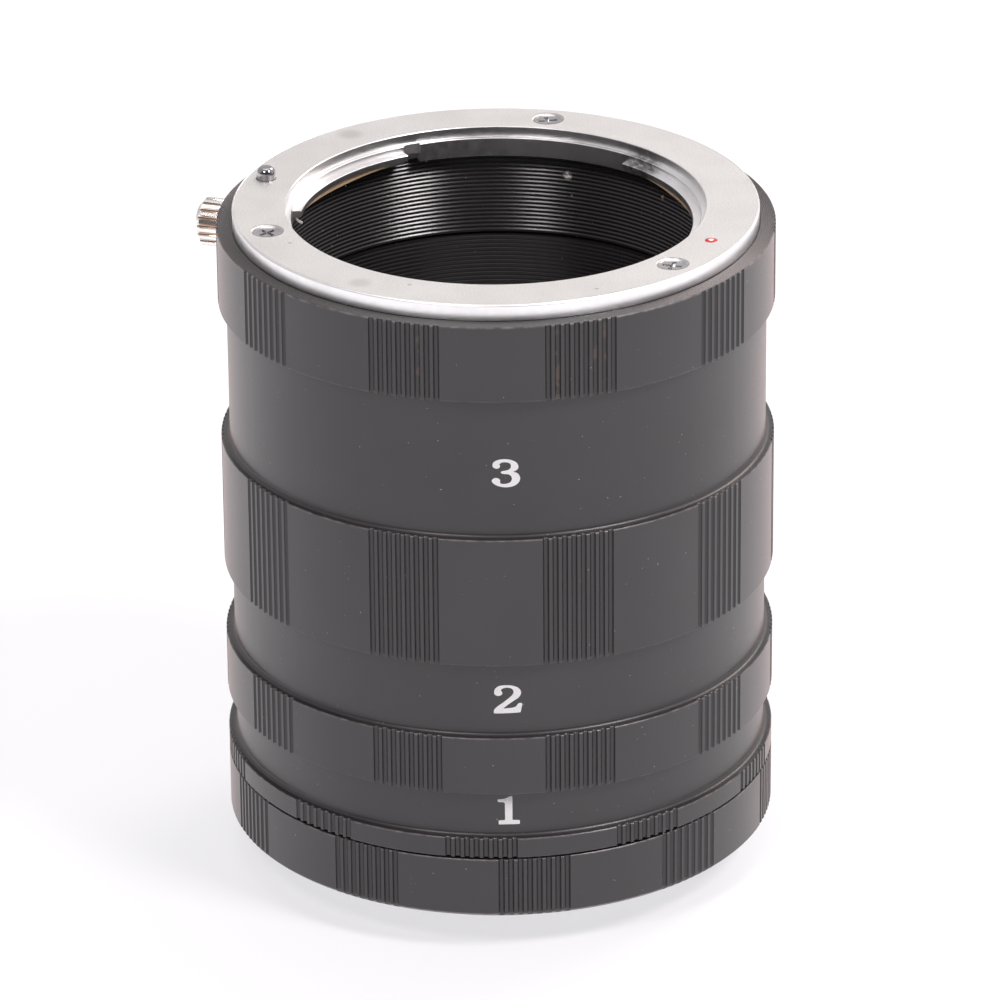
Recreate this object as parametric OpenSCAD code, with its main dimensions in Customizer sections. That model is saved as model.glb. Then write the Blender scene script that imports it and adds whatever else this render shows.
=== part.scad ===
// Macro extension tube set, standing with its lens side up.
// Five black anodised pieces screw together on one axis: a camera mount, tube rings 1, 2 and 3,
// and a lens mount with a chromed female bayonet and its lock.
// Z runs along the optical axis towards the lens. The origin is on the axis at the camera end.

/* [Stack along the optical axis] */
// Length of tube ring 1, seam to seam
ring_1_h = 7; // [6:0.5:9]
// Length of tube ring 2, seam to seam
ring_2_h = 14; // [10:0.5:20]
// Length of tube ring 3, seam to seam
ring_3_h = 28; // [20:0.5:40]
// Height of the lens mount body
lens_body_h = 7.9; // [7.6:0.1:10]
// Height of the camera mount body
camera_body_h = 6.5; // [6.3:0.1:9]
// Gap left at each seam when the rings are screwed home
seam_gap = 0.05; // [0.02:0.01:0.15]
// Gap at the lowest seam, which isn't screwed quite home
low_seam_gap = 0.2; // [0.05:0.05:0.4]

/* [Rings] */
// Outer radius of every knurled collar
collar_r = 27.7; // [25:0.1:34]
// Step from a collar down to its plain neck
collar_step = 0.85; // [0.6:0.05:1]
// Wall of a neck round its threaded socket
socket_wall = 2.19; // [1.8:0.01:2.3]
// Wall of the tube inside its male threads
tube_wall = 3; // [2.9:0.05:3.1]
// Height of the collar on ring 1
collar_1_h = 2.1; // [1.5:0.1:2.5]
// Height of the collar on ring 2
collar_2_h = 6.15; // [4:0.05:6.5]
// Height of the collar on ring 3
collar_3_h = 13.5; // [8:0.5:16]
// Radius of the cove where a neck meets its collar
cove_r = 0.45; // [0.2:0.05:0.6]
// Bevel on the outer edge of the camera mount body
foot_bevel = 0.3; // [0.1:0.05:0.6]
// Bevel on the upper outer edge of the lens mount body
rim_bevel = 0.08; // [0.04:0.01:0.2]

/* [Screw joints] */
// Length of the male threads
spigot_h = 2.3; // [1.5:0.1:2.6]
// Room round a male thread in its socket
thread_clear = 0.06; // [0.03:0.01:0.1]
// Room below a male thread in its socket
thread_end_clear = 0.3; // [0.2:0.05:0.5]

/* [Knurling] */
// Number of groove groups round a collar
knurl_groups = 10; // [6:1:12]
// Grooves in one group
knurl_grooves = 8; // [5:1:9]
// Angle between two grooves, in degrees
knurl_pitch = 1.95; // [1.8:0.05:2.4]
// Width of one groove
groove_w = 0.6; // [0.4:0.05:0.7]
// Depth of one groove
groove_d = 0.27; // [0.15:0.01:0.3]

/* [Lens flange] */
// Width of the black rim outside the chromed flange
rim_w = 1.6; // [1.3:0.05:1.75]
// Height that the flange stands above its body
flange_h = 1.6; // [1.3:0.1:2.2]
// Wall of the flange's collar round the opening
opening_wall = 0.75; // [0.6:0.05:1]
// Depth of the opening down to the ledge round it
opening_h = 1.05; // [0.8:0.05:1.2]
// Width of the ledge, from the opening in to the gates between the lugs
gate_step = 0.5; // [0.4:0.05:0.6]
// Reach of the lugs in from the gates
lug_reach = 0.8; // [0.6:0.05:1]
// Depth of the lugs' upper side below the face
lug_drop = 1.75; // [1.65:0.05:1.85]
// Thickness of a lug
lug_h = 0.65; // [0.55:0.05:0.8]
// Depth of the flange's collar below the face
collar_drop = 3; // [2.8:0.05:3.2]
// Depth of the notch for a spring's end, at one end of the second lug
notch_d = 0.25; // [0.15:0.01:0.28]
// Room round the flange's collar in the body
collar_clear = 0.05; // [0.03:0.01:0.1]
// Rounding of the flange's outer edge
flange_round = 0.45; // [0.2:0.05:0.7]
// Thickness of a bayonet spring
leaf_t = 0.22; // [0.15:0.01:0.3]
// Sag of a bayonet spring below its lug
leaf_sag = 0.55; // [0.4:0.05:0.6]
// Width of a bayonet spring
leaf_w = 0.5; // [0.4:0.05:0.55]
// Length of a bayonet spring
leaf_l = 17; // [15:0.5:17.5]
// Set-back of a bayonet spring from the lug's edge
leaf_inset = 0.2; // [0.1:0.05:0.3]

/* [Fasteners and index] */
// Radius of a screw head
screw_head_r = 1.65; // [1.4:0.05:1.7]
// Depth of a screw head's cone
screw_cone_h = 0.85; // [0.6:0.05:0.9]
// Radius of a screw's shank
screw_r = 0.8; // [0.6:0.05:0.85]
// Length of a screw
screw_l = 3.6; // [3:0.1:3.8]
// Distance of a screw head below the face
screw_sink = 0.05; // [0.02:0.01:0.1]
// Distance of the flange screws from the flange's edge
flange_screw_inset = 2.7; // [2.4:0.1:2.8]
// Distance of the index bead from the flange's edge
index_inset = 2.8; // [2.6:0.1:3]
// Radius of the index bead
index_r = 0.7; // [0.5:0.05:0.9]
// Height of the index bead above the face
index_proud = 0.14; // [0.05:0.01:0.25]
// Depth of the index bead's seat
index_seat = 0.4; // [0.3:0.05:0.8]

/* [Lens lock] */
// Radius of the lock pin
pin_r = 0.95; // [0.7:0.05:1]
// Distance of the lock pin from the flange's edge
pin_inset = 2.1; // [2:0.05:2.2]
// Height of the lock pin above the face
pin_proud = 1.2; // [0.9:0.1:1.25]
// Travel of the lock
lock_travel = 1.4; // [1.3:0.05:1.5]
// Height of the lock slider
slider_h = 5; // [4.6:0.1:5]
// Width of the lock slider
slider_w = 4.4; // [4:0.1:4.6]
// Depth of the lock slider towards the axis, from the pin's centre
slider_in = 1.1; // [1.05:0.05:1.15]
// Depth of the lock slider away from the axis, from the pin's centre
slider_out = 1.7; // [1.6:0.05:1.75]
// Room round the lock slider in its pocket
slider_clear = 0.15; // [0.1:0.05:0.2]
// Room above the lock slider at rest and below it when pushed down
slider_end_clear = 0.2; // [0.1:0.05:0.3]
// Depth that the lock pin is seated in the slider
pin_seat = 1; // [0.8:0.1:1.2]
// Depth of the spring's hole in the slider
spring_hole = 3.2; // [2.6:0.1:3.4]
// Radius of the release knob
knob_r = 2.45; // [2.2:0.05:2.7]
// Length of the release knob
knob_l = 3; // [2.6:0.05:4]
// Distance of the knob's centre below the slider's top
knob_drop = 3.55; // [3.4:0.05:3.7]
// Room between the knob and the body
knob_clear = 0.25; // [0.2:0.05:0.5]
// Radius of the knob's stem
stem_r = 0.8; // [0.6:0.05:0.9]
// Depth that the stem is seated in the slider
stem_seat = 0.6; // [0.5:0.05:0.65]
// Number of ridges round the knob
knob_ridges = 18; // [14:1:20]
// Radius of the grooves between the knob's ridges
knob_groove_r = 0.24; // [0.15:0.01:0.28]
// Bevel on the knob's outer end
knob_bevel = 0.5; // [0.2:0.05:0.6]

/* [Camera bayonet] */
// Height of the bayonet barrel below the seating face
barrel_h = 3.9; // [3.6:0.1:4.5]
// Room round the bayonet barrel in a throat like the one above
barrel_clear = 0.35; // [0.2:0.05:0.6]
// Wall of the bayonet barrel
barrel_wall = 1.35; // [1.2:0.05:1.8]
// Room round the male lugs in gates like those above
male_lug_clear = 0.2; // [0.1:0.05:0.4]
// Thickness of a male lug
male_lug_h = 0.95; // [0.7:0.05:1.2]
// Angle that a male lug covers, in degrees
male_lug_span = 48; // [35:1:50]
// Wall of the camera mount body round the seating plate
foot_wall = 2.25; // [2.1:0.05:2.4]
// Thickness of the seating plate
plate_h = 1.6; // [1.3:0.1:1.8]
// Height that the seating plate stands out of the body
plate_proud = 0.1; // [0.05:0.01:0.2]
// Room round the seating plate in the body
plate_clear = 0.05; // [0.03:0.01:0.1]
// Distance of the bayonet screws from the plate's edge
bayonet_screw_inset = 2; // [1.9:0.05:2.2]
// Radius of the hole for the camera's lock pin
lock_hole_r = 1.1; // [1:0.05:1.3]

/* [Hidden] */

// Seams, counted from the camera end
seat_z = barrel_h;
camera_body_z = seat_z + plate_proud;
ring_1_z = camera_body_z + camera_body_h;
ring_2_z = ring_1_z + ring_1_h;
ring_3_z = ring_2_z + ring_2_h;
lens_body_z = ring_3_z + ring_3_h;
body_top_z = lens_body_z + lens_body_h;
face_z = body_top_z + flange_h;

// Directions round the axis, in degrees from +X, with the photo's front at 270
lock_az = 162.5;
index_az = 334.2;
flange_screw_az = [76.7, 196.7, 316.7];
bayonet_screw_az = [60.7, 180.7, 300.7];
male_lug_az = [261.5, 21.5, 141.5];
// First and last direction of each female lug
lug_span = [[-14, 49], [117, 172], [237, 292]];
// First and last direction of the notch
notch_span = [112, 117];
// Middle direction of each bayonet spring
leaf_az = [17.5, 144.5, 264.5];
// Middle direction of one knurl group on each collar
lens_knurl_az = 251;
ring_3_knurl_az = 250.3;
ring_2_knurl_az = 250.6;
ring_1_knurl_az = 265.9;
camera_knurl_az = 240.8;

// Radii, from the collars inwards
neck_r = collar_r - collar_step;
socket_r = neck_r - socket_wall;
spigot_r = socket_r - thread_clear;
bore_r = spigot_r - tube_wall;
socket_h = spigot_h + thread_end_clear;

// Lens flange and camera bayonet
flange_r = collar_r - rim_w;
opening_r = bore_r - collar_clear - opening_wall;
gate_r = opening_r - gate_step;
throat_r = gate_r - lug_reach;
ledge_z = face_z - opening_h;
lug_bottom_z = face_z - lug_drop - lug_h;
collar_bottom_z = face_z - collar_drop;
flange_screw_at = flange_r - flange_screw_inset;
pin_at = flange_r - pin_inset;
index_at = flange_r - index_inset;
plate_r = collar_r - foot_wall - plate_clear;
barrel_r = throat_r - barrel_clear;
barrel_bore_r = barrel_r - barrel_wall;
male_lug_r = gate_r - male_lug_clear;
bayonet_screw_at = plate_r - bayonet_screw_inset;

// Lock slider, pocket and knob
slider_top_z = body_top_z - slider_end_clear;
slider_z = slider_top_z - slider_h;
pocket_floor_z = slider_z - lock_travel - slider_end_clear;
spring_top_z = slider_z + spring_hole;
pin_top_z = face_z + pin_proud;
knob_z = slider_top_z - knob_drop;
knob_in = collar_r + knob_clear;
slider_face = pin_at + slider_out;

// Lock spring
spring_wire_r = 0.14;
spring_room = 0.05;
spring_coil_r = pin_r - spring_room - spring_wire_r;
spring_turns = 5.5;

cross_w = 0.36;
cross_l = 2;
cross_d = 0.55;
screw_hole_clear = 0.1;
eps = 0.01;
through = 20;

$fn = 128;

// Sector of a ring between two directions
module ring_sector(r_in, r_out, h, from, to) {
    rotate([0, 0, from])
        rotate_extrude(angle = to - from)
            translate([r_in, 0])
                square([r_out - r_in, h]);
}

// Groups of half-round grooves along the outside of a collar
module knurl_cut(z, h, az) {
    // a circle through the groove's two edges and its bottom
    cut_r = (groove_w * groove_w / 4 + groove_d * groove_d) / (2 * groove_d);
    for (g = [0 : knurl_groups - 1])
        for (i = [0 : knurl_grooves - 1])
            rotate([0, 0, az + g * 360 / knurl_groups + (i - (knurl_grooves - 1) / 2) * knurl_pitch])
                translate([collar_r - groove_d + cut_r, 0, z])
                    cylinder(r = cut_r, h = h, $fn = 20);
}

// Half section of a ring: spigot below, collar, cove and neck, with a socket in the top
module ring_section(h, collar_h) {
    top = h - seam_gap;
    difference() {
        union() {
            translate([bore_r, -spigot_h])
                square([spigot_r - bore_r, spigot_h + eps]);
            translate([bore_r, 0])
                square([collar_r - bore_r, collar_h]);
            translate([bore_r, 0])
                square([neck_r - bore_r, top]);
            translate([neck_r - eps, collar_h - eps])
                square([cove_r + eps, cove_r + eps]);
        }
        translate([neck_r + cove_r, collar_h + cove_r])
            circle(r = cove_r, $fn = 32);
        translate([bore_r - eps, top - socket_h])
            square([socket_r - bore_r + eps, socket_h + eps]);
    }
}

// A tube ring whose seam is at z
module tube_ring(z, h, collar_h, az) {
    difference() {
        translate([0, 0, z])
            rotate_extrude()
                ring_section(h, collar_h);
        knurl_cut(z - eps, collar_h + 2 * eps, az);
    }
}

module ring_1() {
    color("#3f3d42") tube_ring(ring_1_z, ring_1_h, collar_1_h, ring_1_knurl_az);
}

module ring_2() {
    color("#3f3d42") tube_ring(ring_2_z, ring_2_h, collar_2_h, ring_2_knurl_az);
}

module ring_3() {
    color("#3f3d42") tube_ring(ring_3_z, ring_3_h, collar_3_h, ring_3_knurl_az);
}

// Half section of the lens mount body, with its spigot below
module lens_body_section() {
    polygon([
        [bore_r, -spigot_h],
        [spigot_r, -spigot_h],
        [spigot_r, 0],
        [collar_r, 0],
        [collar_r, lens_body_h - rim_bevel],
        [collar_r - rim_bevel, lens_body_h],
        [bore_r, lens_body_h]
    ]);
}

// Pocket that the lock slider runs in, and the slot for the knob's stem
module lock_pocket() {
    slot_r = stem_r + slider_clear;
    rotate([0, 0, lock_az]) {
        translate([pin_at - slider_in - slider_clear, -slider_w / 2 - slider_clear, pocket_floor_z])
            cube([slider_in + slider_out + 2 * slider_clear, slider_w + 2 * slider_clear, through]);
        for (dz = [0, -lock_travel])
            translate([slider_face, 0, knob_z + dz])
                rotate([0, 90, 0])
                    cylinder(r = slot_r, h = through, $fn = 32);
        translate([slider_face, -slot_r, knob_z - lock_travel])
            cube([through, 2 * slot_r, lock_travel]);
    }
}

// Screw in its own frame: head upwards at zero, with a cross recess
module countersunk_screw() {
    difference() {
        translate([0, 0, -screw_sink])
            rotate_extrude($fn = 48)
                polygon([
                    [0, 0],
                    [screw_head_r, 0],
                    [screw_r, -screw_cone_h],
                    [screw_r, -screw_l],
                    [0, -screw_l]
                ]);
        for (a = [0, 90])
            rotate([0, 0, a])
                translate([-cross_l / 2, -cross_w / 2, -screw_sink - cross_d])
                    cube([cross_l, cross_w, cross_d + screw_sink + eps]);
    }
}

// Countersunk clearance hole through a plate of thickness h
module countersink(h) {
    translate([0, 0, -screw_sink])
        rotate_extrude($fn = 48)
            polygon([
                [0, screw_sink + eps],
                [screw_head_r, screw_sink + eps],
                [screw_head_r, 0],
                [screw_r + screw_hole_clear, -screw_cone_h * (1 - screw_hole_clear / (screw_head_r - screw_r))],
                [screw_r + screw_hole_clear, screw_sink - h - eps],
                [0, screw_sink - h - eps]
            ]);
}

// Tapped hole for a screw, down from zero
module tapped_hole() {
    translate([0, 0, -screw_sink - screw_l])
        cylinder(r = screw_r, h = screw_l + screw_sink, $fn = 48);
}

// Places a child at each screw of the lens flange, head up
module at_flange_screws(list) {
    for (a = list)
        rotate([0, 0, a])
            translate([flange_screw_at, 0, face_z])
                rotate([0, 0, 25])
                    children();
}

// Places a child at each screw of the camera bayonet, head down
module at_bayonet_screws(list) {
    for (a = list)
        rotate([0, 0, a])
            translate([bayonet_screw_at, 0, seat_z])
                rotate([180, 0, 0])
                    children();
}

module lens_mount_body() {
    color("#3f3d42")
        difference() {
            translate([0, 0, lens_body_z])
                rotate_extrude()
                    lens_body_section();
            knurl_cut(lens_body_z - eps, lens_body_h + 2 * eps, lens_knurl_az);
            lock_pocket();
            at_flange_screws(flange_screw_az) tapped_hole();
        }
}

// Half section of the flange: plate with a rounded edge, and the collar that centres it and holds the lugs
module flange_section() {
    difference() {
        union() {
            translate([gate_r, 0])
                square([flange_r - gate_r, flange_h]);
            translate([gate_r, collar_bottom_z - body_top_z])
                square([bore_r - collar_clear - gate_r, body_top_z - collar_bottom_z + eps]);
        }
        translate([flange_r - flange_round, flange_h - flange_round])
            difference() {
                square([flange_round + eps, flange_round + eps]);
                circle(r = flange_round, $fn = 48);
            }
        translate([gate_r - eps, flange_h - opening_h])
            square([gate_step + eps, opening_h + eps]);
    }
}

module lens_flange() {
    color("#dedad8")
        difference() {
            union() {
                translate([0, 0, body_top_z])
                    rotate_extrude()
                        flange_section();
                for (s = lug_span)
                    translate([0, 0, lug_bottom_z])
                        ring_sector(throat_r, gate_r + gate_step / 2, lug_h, s[0], s[1]);
            }
            translate([0, 0, collar_bottom_z - eps])
                ring_sector(throat_r, gate_r + notch_d, ledge_z - collar_bottom_z + 2 * eps, notch_span[0], notch_span[1]);
            at_flange_screws(flange_screw_az) countersink(flange_h);
            rotate([0, 0, lock_az])
                translate([pin_at, 0, body_top_z - eps])
                    cylinder(r = pin_r + slider_clear / 2, h = flange_h + 2 * eps, $fn = 48);
            rotate([0, 0, index_az])
                translate([index_at, 0, face_z - index_seat])
                    cylinder(r = index_r, h = index_seat + eps, $fn = 48);
        }
}

// Bowed leaf spring under a lug, with its ends against the lug's lower side
module bayonet_spring(az) {
    // circle through the leaf's two ends and its lowest point
    bow_r = (leaf_l * leaf_l / 4 + leaf_sag * leaf_sag) / (2 * leaf_sag);
    color("#c9a26b")
        intersection() {
            rotate([0, 0, az])
                translate([0, 0, lug_bottom_z])
                    rotate([90, 0, 90])
                        linear_extrude(height = bore_r)
                            intersection() {
                                translate([0, bow_r - leaf_sag])
                                    difference() {
                                        circle(r = bow_r);
                                        circle(r = bow_r - leaf_t);
                                    }
                                translate([-leaf_l, -2 * leaf_sag])
                                    square([2 * leaf_l, 2 * leaf_sag]);
                            }
            translate([0, 0, lug_bottom_z - 2 * leaf_sag])
                rotate([0, 0, az - 40])
                    rotate_extrude(angle = 80)
                        translate([throat_r + leaf_inset, 0])
                            square([leaf_w, 2 * leaf_sag]);
        }
}

module flange_screw(i) {
    color("#c8c8c8") at_flange_screws([flange_screw_az[i]]) countersunk_screw();
}

// Domed red bead that marks where the lens goes in
module index_bead() {
    dome_r = (index_r * index_r + index_proud * index_proud) / (2 * index_proud);
    color("#c8102e")
        rotate([0, 0, index_az])
            translate([index_at, 0, face_z - index_seat])
                intersection() {
                    cylinder(r = index_r, h = index_seat + index_proud, $fn = 48);
                    translate([0, 0, index_seat + index_proud - dome_r])
                        sphere(r = dome_r, $fn = 64);
                }
}

module lock_pin() {
    color("#d8d8d8")
        rotate([0, 0, lock_az])
            translate([pin_at, 0, 0])
                rotate_extrude($fn = 48)
                    polygon([
                        [0, slider_top_z - pin_seat],
                        [pin_r, slider_top_z - pin_seat],
                        [pin_r, pin_top_z - pin_r * 0.6],
                        [pin_r * 0.85, pin_top_z - pin_r * 0.25],
                        [pin_r * 0.5, pin_top_z],
                        [0, pin_top_z]
                    ]);
}

module release_slider() {
    color("#b9b4ab")
        rotate([0, 0, lock_az])
            difference() {
                translate([pin_at - slider_in, -slider_w / 2, slider_z])
                    cube([slider_in + slider_out, slider_w, slider_h]);
                translate([pin_at, 0, slider_top_z - pin_seat])
                    cylinder(r = pin_r, h = pin_seat + eps, $fn = 48);
                translate([pin_at, 0, slider_z - eps])
                    cylinder(r = pin_r, h = spring_hole + eps, $fn = 48);
                translate([slider_face - stem_seat, 0, knob_z])
                    rotate([0, 90, 0])
                        cylinder(r = stem_r, h = stem_seat + eps, $fn = 48);
            }
}

// Turned knob with its stem: straight ridges and a bevelled outer end
module release_knob() {
    stem_l = knob_in - slider_face + stem_seat;
    color("#d8d8d8")
        rotate([0, 0, lock_az])
            translate([slider_face - stem_seat, 0, knob_z])
                rotate([0, 90, 0])
                    difference() {
                        rotate_extrude($fn = 96)
                            polygon([
                                [0, 0],
                                [stem_r, 0],
                                [stem_r, stem_l],
                                [knob_r, stem_l],
                                [knob_r, stem_l + knob_l - knob_bevel],
                                [knob_r - knob_bevel, stem_l + knob_l],
                                [0, stem_l + knob_l]
                            ]);
                        for (i = [0 : knob_ridges - 1])
                            rotate([0, 0, i * 360 / knob_ridges])
                                translate([knob_r, 0, stem_l - eps])
                                    cylinder(r = knob_groove_r, h = knob_l + 2 * eps, $fn = 16);
                    }
}

// Points of one ring of the spring's wire, at turn t
function wire_ring(t, sides, height) = [
    for (k = [0 : sides - 1])
        let (
            a = 360 * k / sides,
            r = spring_coil_r + spring_wire_r * cos(a)
        )
        [
            r * cos(360 * t),
            r * sin(360 * t),
            spring_wire_r + (height - 2 * spring_wire_r) * t / spring_turns + spring_wire_r * sin(a)
        ]
];

// Compression spring between the pocket's floor and the slider
module lock_spring() {
    sides = 8;
    steps = 66;
    height = spring_top_z - pocket_floor_z;
    points = [for (s = [0 : steps]) each wire_ring(spring_turns * s / steps, sides, height)];
    walls = [
        for (s = [0 : steps - 1])
            for (k = [0 : sides - 1])
                [
                    s * sides + k,
                    (s + 1) * sides + k,
                    (s + 1) * sides + (k + 1) % sides,
                    s * sides + (k + 1) % sides
                ]
    ];
    first_end = [[for (k = [0 : sides - 1]) k]];
    last_end = [[for (k = [sides - 1 : -1 : 0]) steps * sides + k]];
    color("#b0b0b0")
        rotate([0, 0, lock_az])
            translate([pin_at, 0, pocket_floor_z])
                polyhedron(points = points, faces = concat(first_end, walls, last_end));
}

// Half section of the camera mount body: socket above, recess for the bayonet below
module camera_body_section() {
    top = camera_body_h - low_seam_gap;
    recess = plate_h - plate_proud;
    polygon([
        [bore_r, recess],
        [plate_r + plate_clear, recess],
        [plate_r + plate_clear, 0],
        [collar_r - foot_bevel, 0],
        [collar_r, foot_bevel],
        [collar_r, top],
        [socket_r, top],
        [socket_r, camera_body_h - socket_h],
        [bore_r, camera_body_h - socket_h]
    ]);
}

module camera_mount_body() {
    color("#3f3d42")
        difference() {
            translate([0, 0, camera_body_z])
                rotate_extrude()
                    camera_body_section();
            knurl_cut(camera_body_z - eps, camera_body_h + 2 * eps, camera_knurl_az);
            at_bayonet_screws(bayonet_screw_az) tapped_hole();
        }
}

module camera_bayonet() {
    color("#d4d2d0")
        difference() {
            union() {
                rotate_extrude()
                    polygon([
                        [barrel_bore_r, 0],
                        [barrel_r, 0],
                        [barrel_r, seat_z],
                        [plate_r, seat_z],
                        [plate_r, seat_z + plate_h],
                        [barrel_bore_r, seat_z + plate_h]
                    ]);
                for (a = male_lug_az)
                    ring_sector(barrel_r - eps, male_lug_r, male_lug_h, a - male_lug_span / 2, a + male_lug_span / 2);
            }
            at_bayonet_screws(bayonet_screw_az) countersink(plate_h);
            rotate([0, 0, lock_az])
                translate([pin_at, 0, seat_z - eps])
                    cylinder(r = lock_hole_r, h = plate_h + 2 * eps, $fn = 48);
        }
}

module bayonet_screw(i) {
    color("#c8c8c8") at_bayonet_screws([bayonet_screw_az[i]]) countersunk_screw();
}

lens_mount_body();
lens_flange();
flange_screw(0);  // flange_screw_1
flange_screw(1);  // flange_screw_2
flange_screw(2);  // flange_screw_3
bayonet_spring(leaf_az[0]);  // bayonet_spring_1
bayonet_spring(leaf_az[1]);  // bayonet_spring_2
bayonet_spring(leaf_az[2]);  // bayonet_spring_3
index_bead();
lock_pin();
release_slider();
release_knob();
lock_spring();
ring_3();
ring_2();
ring_1();
camera_mount_body();
camera_bayonet();
bayonet_screw(0);  // bayonet_screw_1
bayonet_screw(1);  // bayonet_screw_2
bayonet_screw(2);  // bayonet_screw_3
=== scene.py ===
"""Macro extension tube set: knurled black rings, a chromed lens mount with its lock, and a camera mount."""

from __future__ import annotations

import logging
import math
from collections.abc import Sequence
from dataclasses import dataclass, field
from enum import Enum
from typing import Any, Protocol

import bmesh
import bpy
from mathutils import Matrix, Vector
from mathutils.geometry import delaunay_2d_cdt


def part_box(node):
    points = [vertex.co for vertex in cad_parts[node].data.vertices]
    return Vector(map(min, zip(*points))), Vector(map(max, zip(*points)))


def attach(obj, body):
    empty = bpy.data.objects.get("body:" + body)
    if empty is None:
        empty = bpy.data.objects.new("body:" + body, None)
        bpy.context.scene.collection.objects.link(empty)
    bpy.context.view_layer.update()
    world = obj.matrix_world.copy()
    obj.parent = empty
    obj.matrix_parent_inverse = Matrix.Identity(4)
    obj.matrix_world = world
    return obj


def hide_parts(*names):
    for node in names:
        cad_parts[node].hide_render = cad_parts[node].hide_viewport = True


MM = 0.001
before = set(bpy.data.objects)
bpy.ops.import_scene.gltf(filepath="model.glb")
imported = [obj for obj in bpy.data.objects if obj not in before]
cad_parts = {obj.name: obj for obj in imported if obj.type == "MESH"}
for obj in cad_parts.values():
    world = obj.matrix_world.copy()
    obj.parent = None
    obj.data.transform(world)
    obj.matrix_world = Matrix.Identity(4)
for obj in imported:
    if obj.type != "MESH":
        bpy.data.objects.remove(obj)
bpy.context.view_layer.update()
log = logging.getLogger("extension_tube")
# share of the samples' depth at a loop that is cut in full
CUT = 1.0
# how far a cutter stands over the face, and how deep it goes where it cuts right through a plate
CLEAR, THROUGH = 0.3, 2.4
# radius and height of a screw's sunk hole, from above the face down
SINK = ((1.66, CLEAR), (1.66, -0.06), (0.9, -0.85), (0.9, -THROUGH))


class Skin(Enum):
    """Which finish a face of a turned piece takes."""

    OUTSIDE = 0
    INSIDE = 1


def linear(code: str) -> tuple[float, float, float, float]:
    """Turn an sRGB hex value into linear red, green, blue and alpha.

    Args:
        code: Colour as "#rrggbb".

    Returns:
        The linear colour with alpha 1.
    """
    parts = [int(code[i : i + 2], 16) / 255 for i in (1, 3, 5)]
    red, green, blue = (p / 12.92 if p <= 0.04045 else ((p + 0.055) / 1.055) ** 2.4 for p in parts)
    return red, green, blue, 1.0


def add(
    tree: bpy.types.NodeTree, kind: str, sockets: dict[Any, Any] | None = None, out: int | str = 0, **settings: Any
) -> bpy.types.NodeSocket | None:
    """Add a node with its settings and links.

    Args:
        tree: Node tree that gets the node.
        kind: Type name of the node, after the word that all of them start with.
        sockets: Input name or number to a value or to the output socket that feeds it.
        out: Name or number of the output that is wanted.
        **settings: Attributes of the node.

    Returns:
        The wanted output, or None where the node has none.
    """
    made = tree.nodes.new(f"ShaderNode{kind}")
    for name, value in settings.items():
        setattr(made, name, value)
    for key, value in (sockets or {}).items():
        if isinstance(value, bpy.types.NodeSocket):
            tree.links.new(value, made.inputs[key])
        else:
            made.inputs[key].default_value = value
    return made.outputs[out] if len(made.outputs) else None


def new_tree(name: str) -> tuple[bpy.types.Material, bpy.types.NodeTree]:
    """Make an empty node material.

    Args:
        name: Name of the material.

    Returns:
        The material and its node tree.
    """
    material = bpy.data.materials.new(name)
    material.use_nodes = True
    material.node_tree.nodes.clear()
    return material, material.node_tree


def spot(tree: bpy.types.NodeTree, place: Any, rough: Any, at: Sequence[float], size: float) -> bpy.types.NodeSocket:
    """Mask a small ragged spot on a surface.

    Args:
        tree: Node tree to add to.
        place: Position on the object.
        rough: Noise that makes the spot's outline ragged.
        at: Direction in degrees, radius and height of the spot in millimetres.
        size: Radius of the spot in millimetres.

    Returns:
        The mask's socket, 1 inside the spot.
    """
    turn, radius, height = math.radians(at[0]), at[1] * MM, at[2] * MM
    centre = (radius * math.cos(turn), radius * math.sin(turn), height)
    gap = add(tree, "VectorMath", {0: place, 1: centre}, "Value", operation="DISTANCE")
    near = add(tree, "MapRange", {0: gap, 1: size * 0.4 * MM, 2: size * MM, 3: 1.0, 4: 0.0})
    ragged = add(tree, "MapRange", {0: rough, 1: 0.35, 2: 0.55, 3: 0.25, 4: 1.0})
    return add(tree, "Math", {0: near, 1: ragged}, operation="MULTIPLY")


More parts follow.
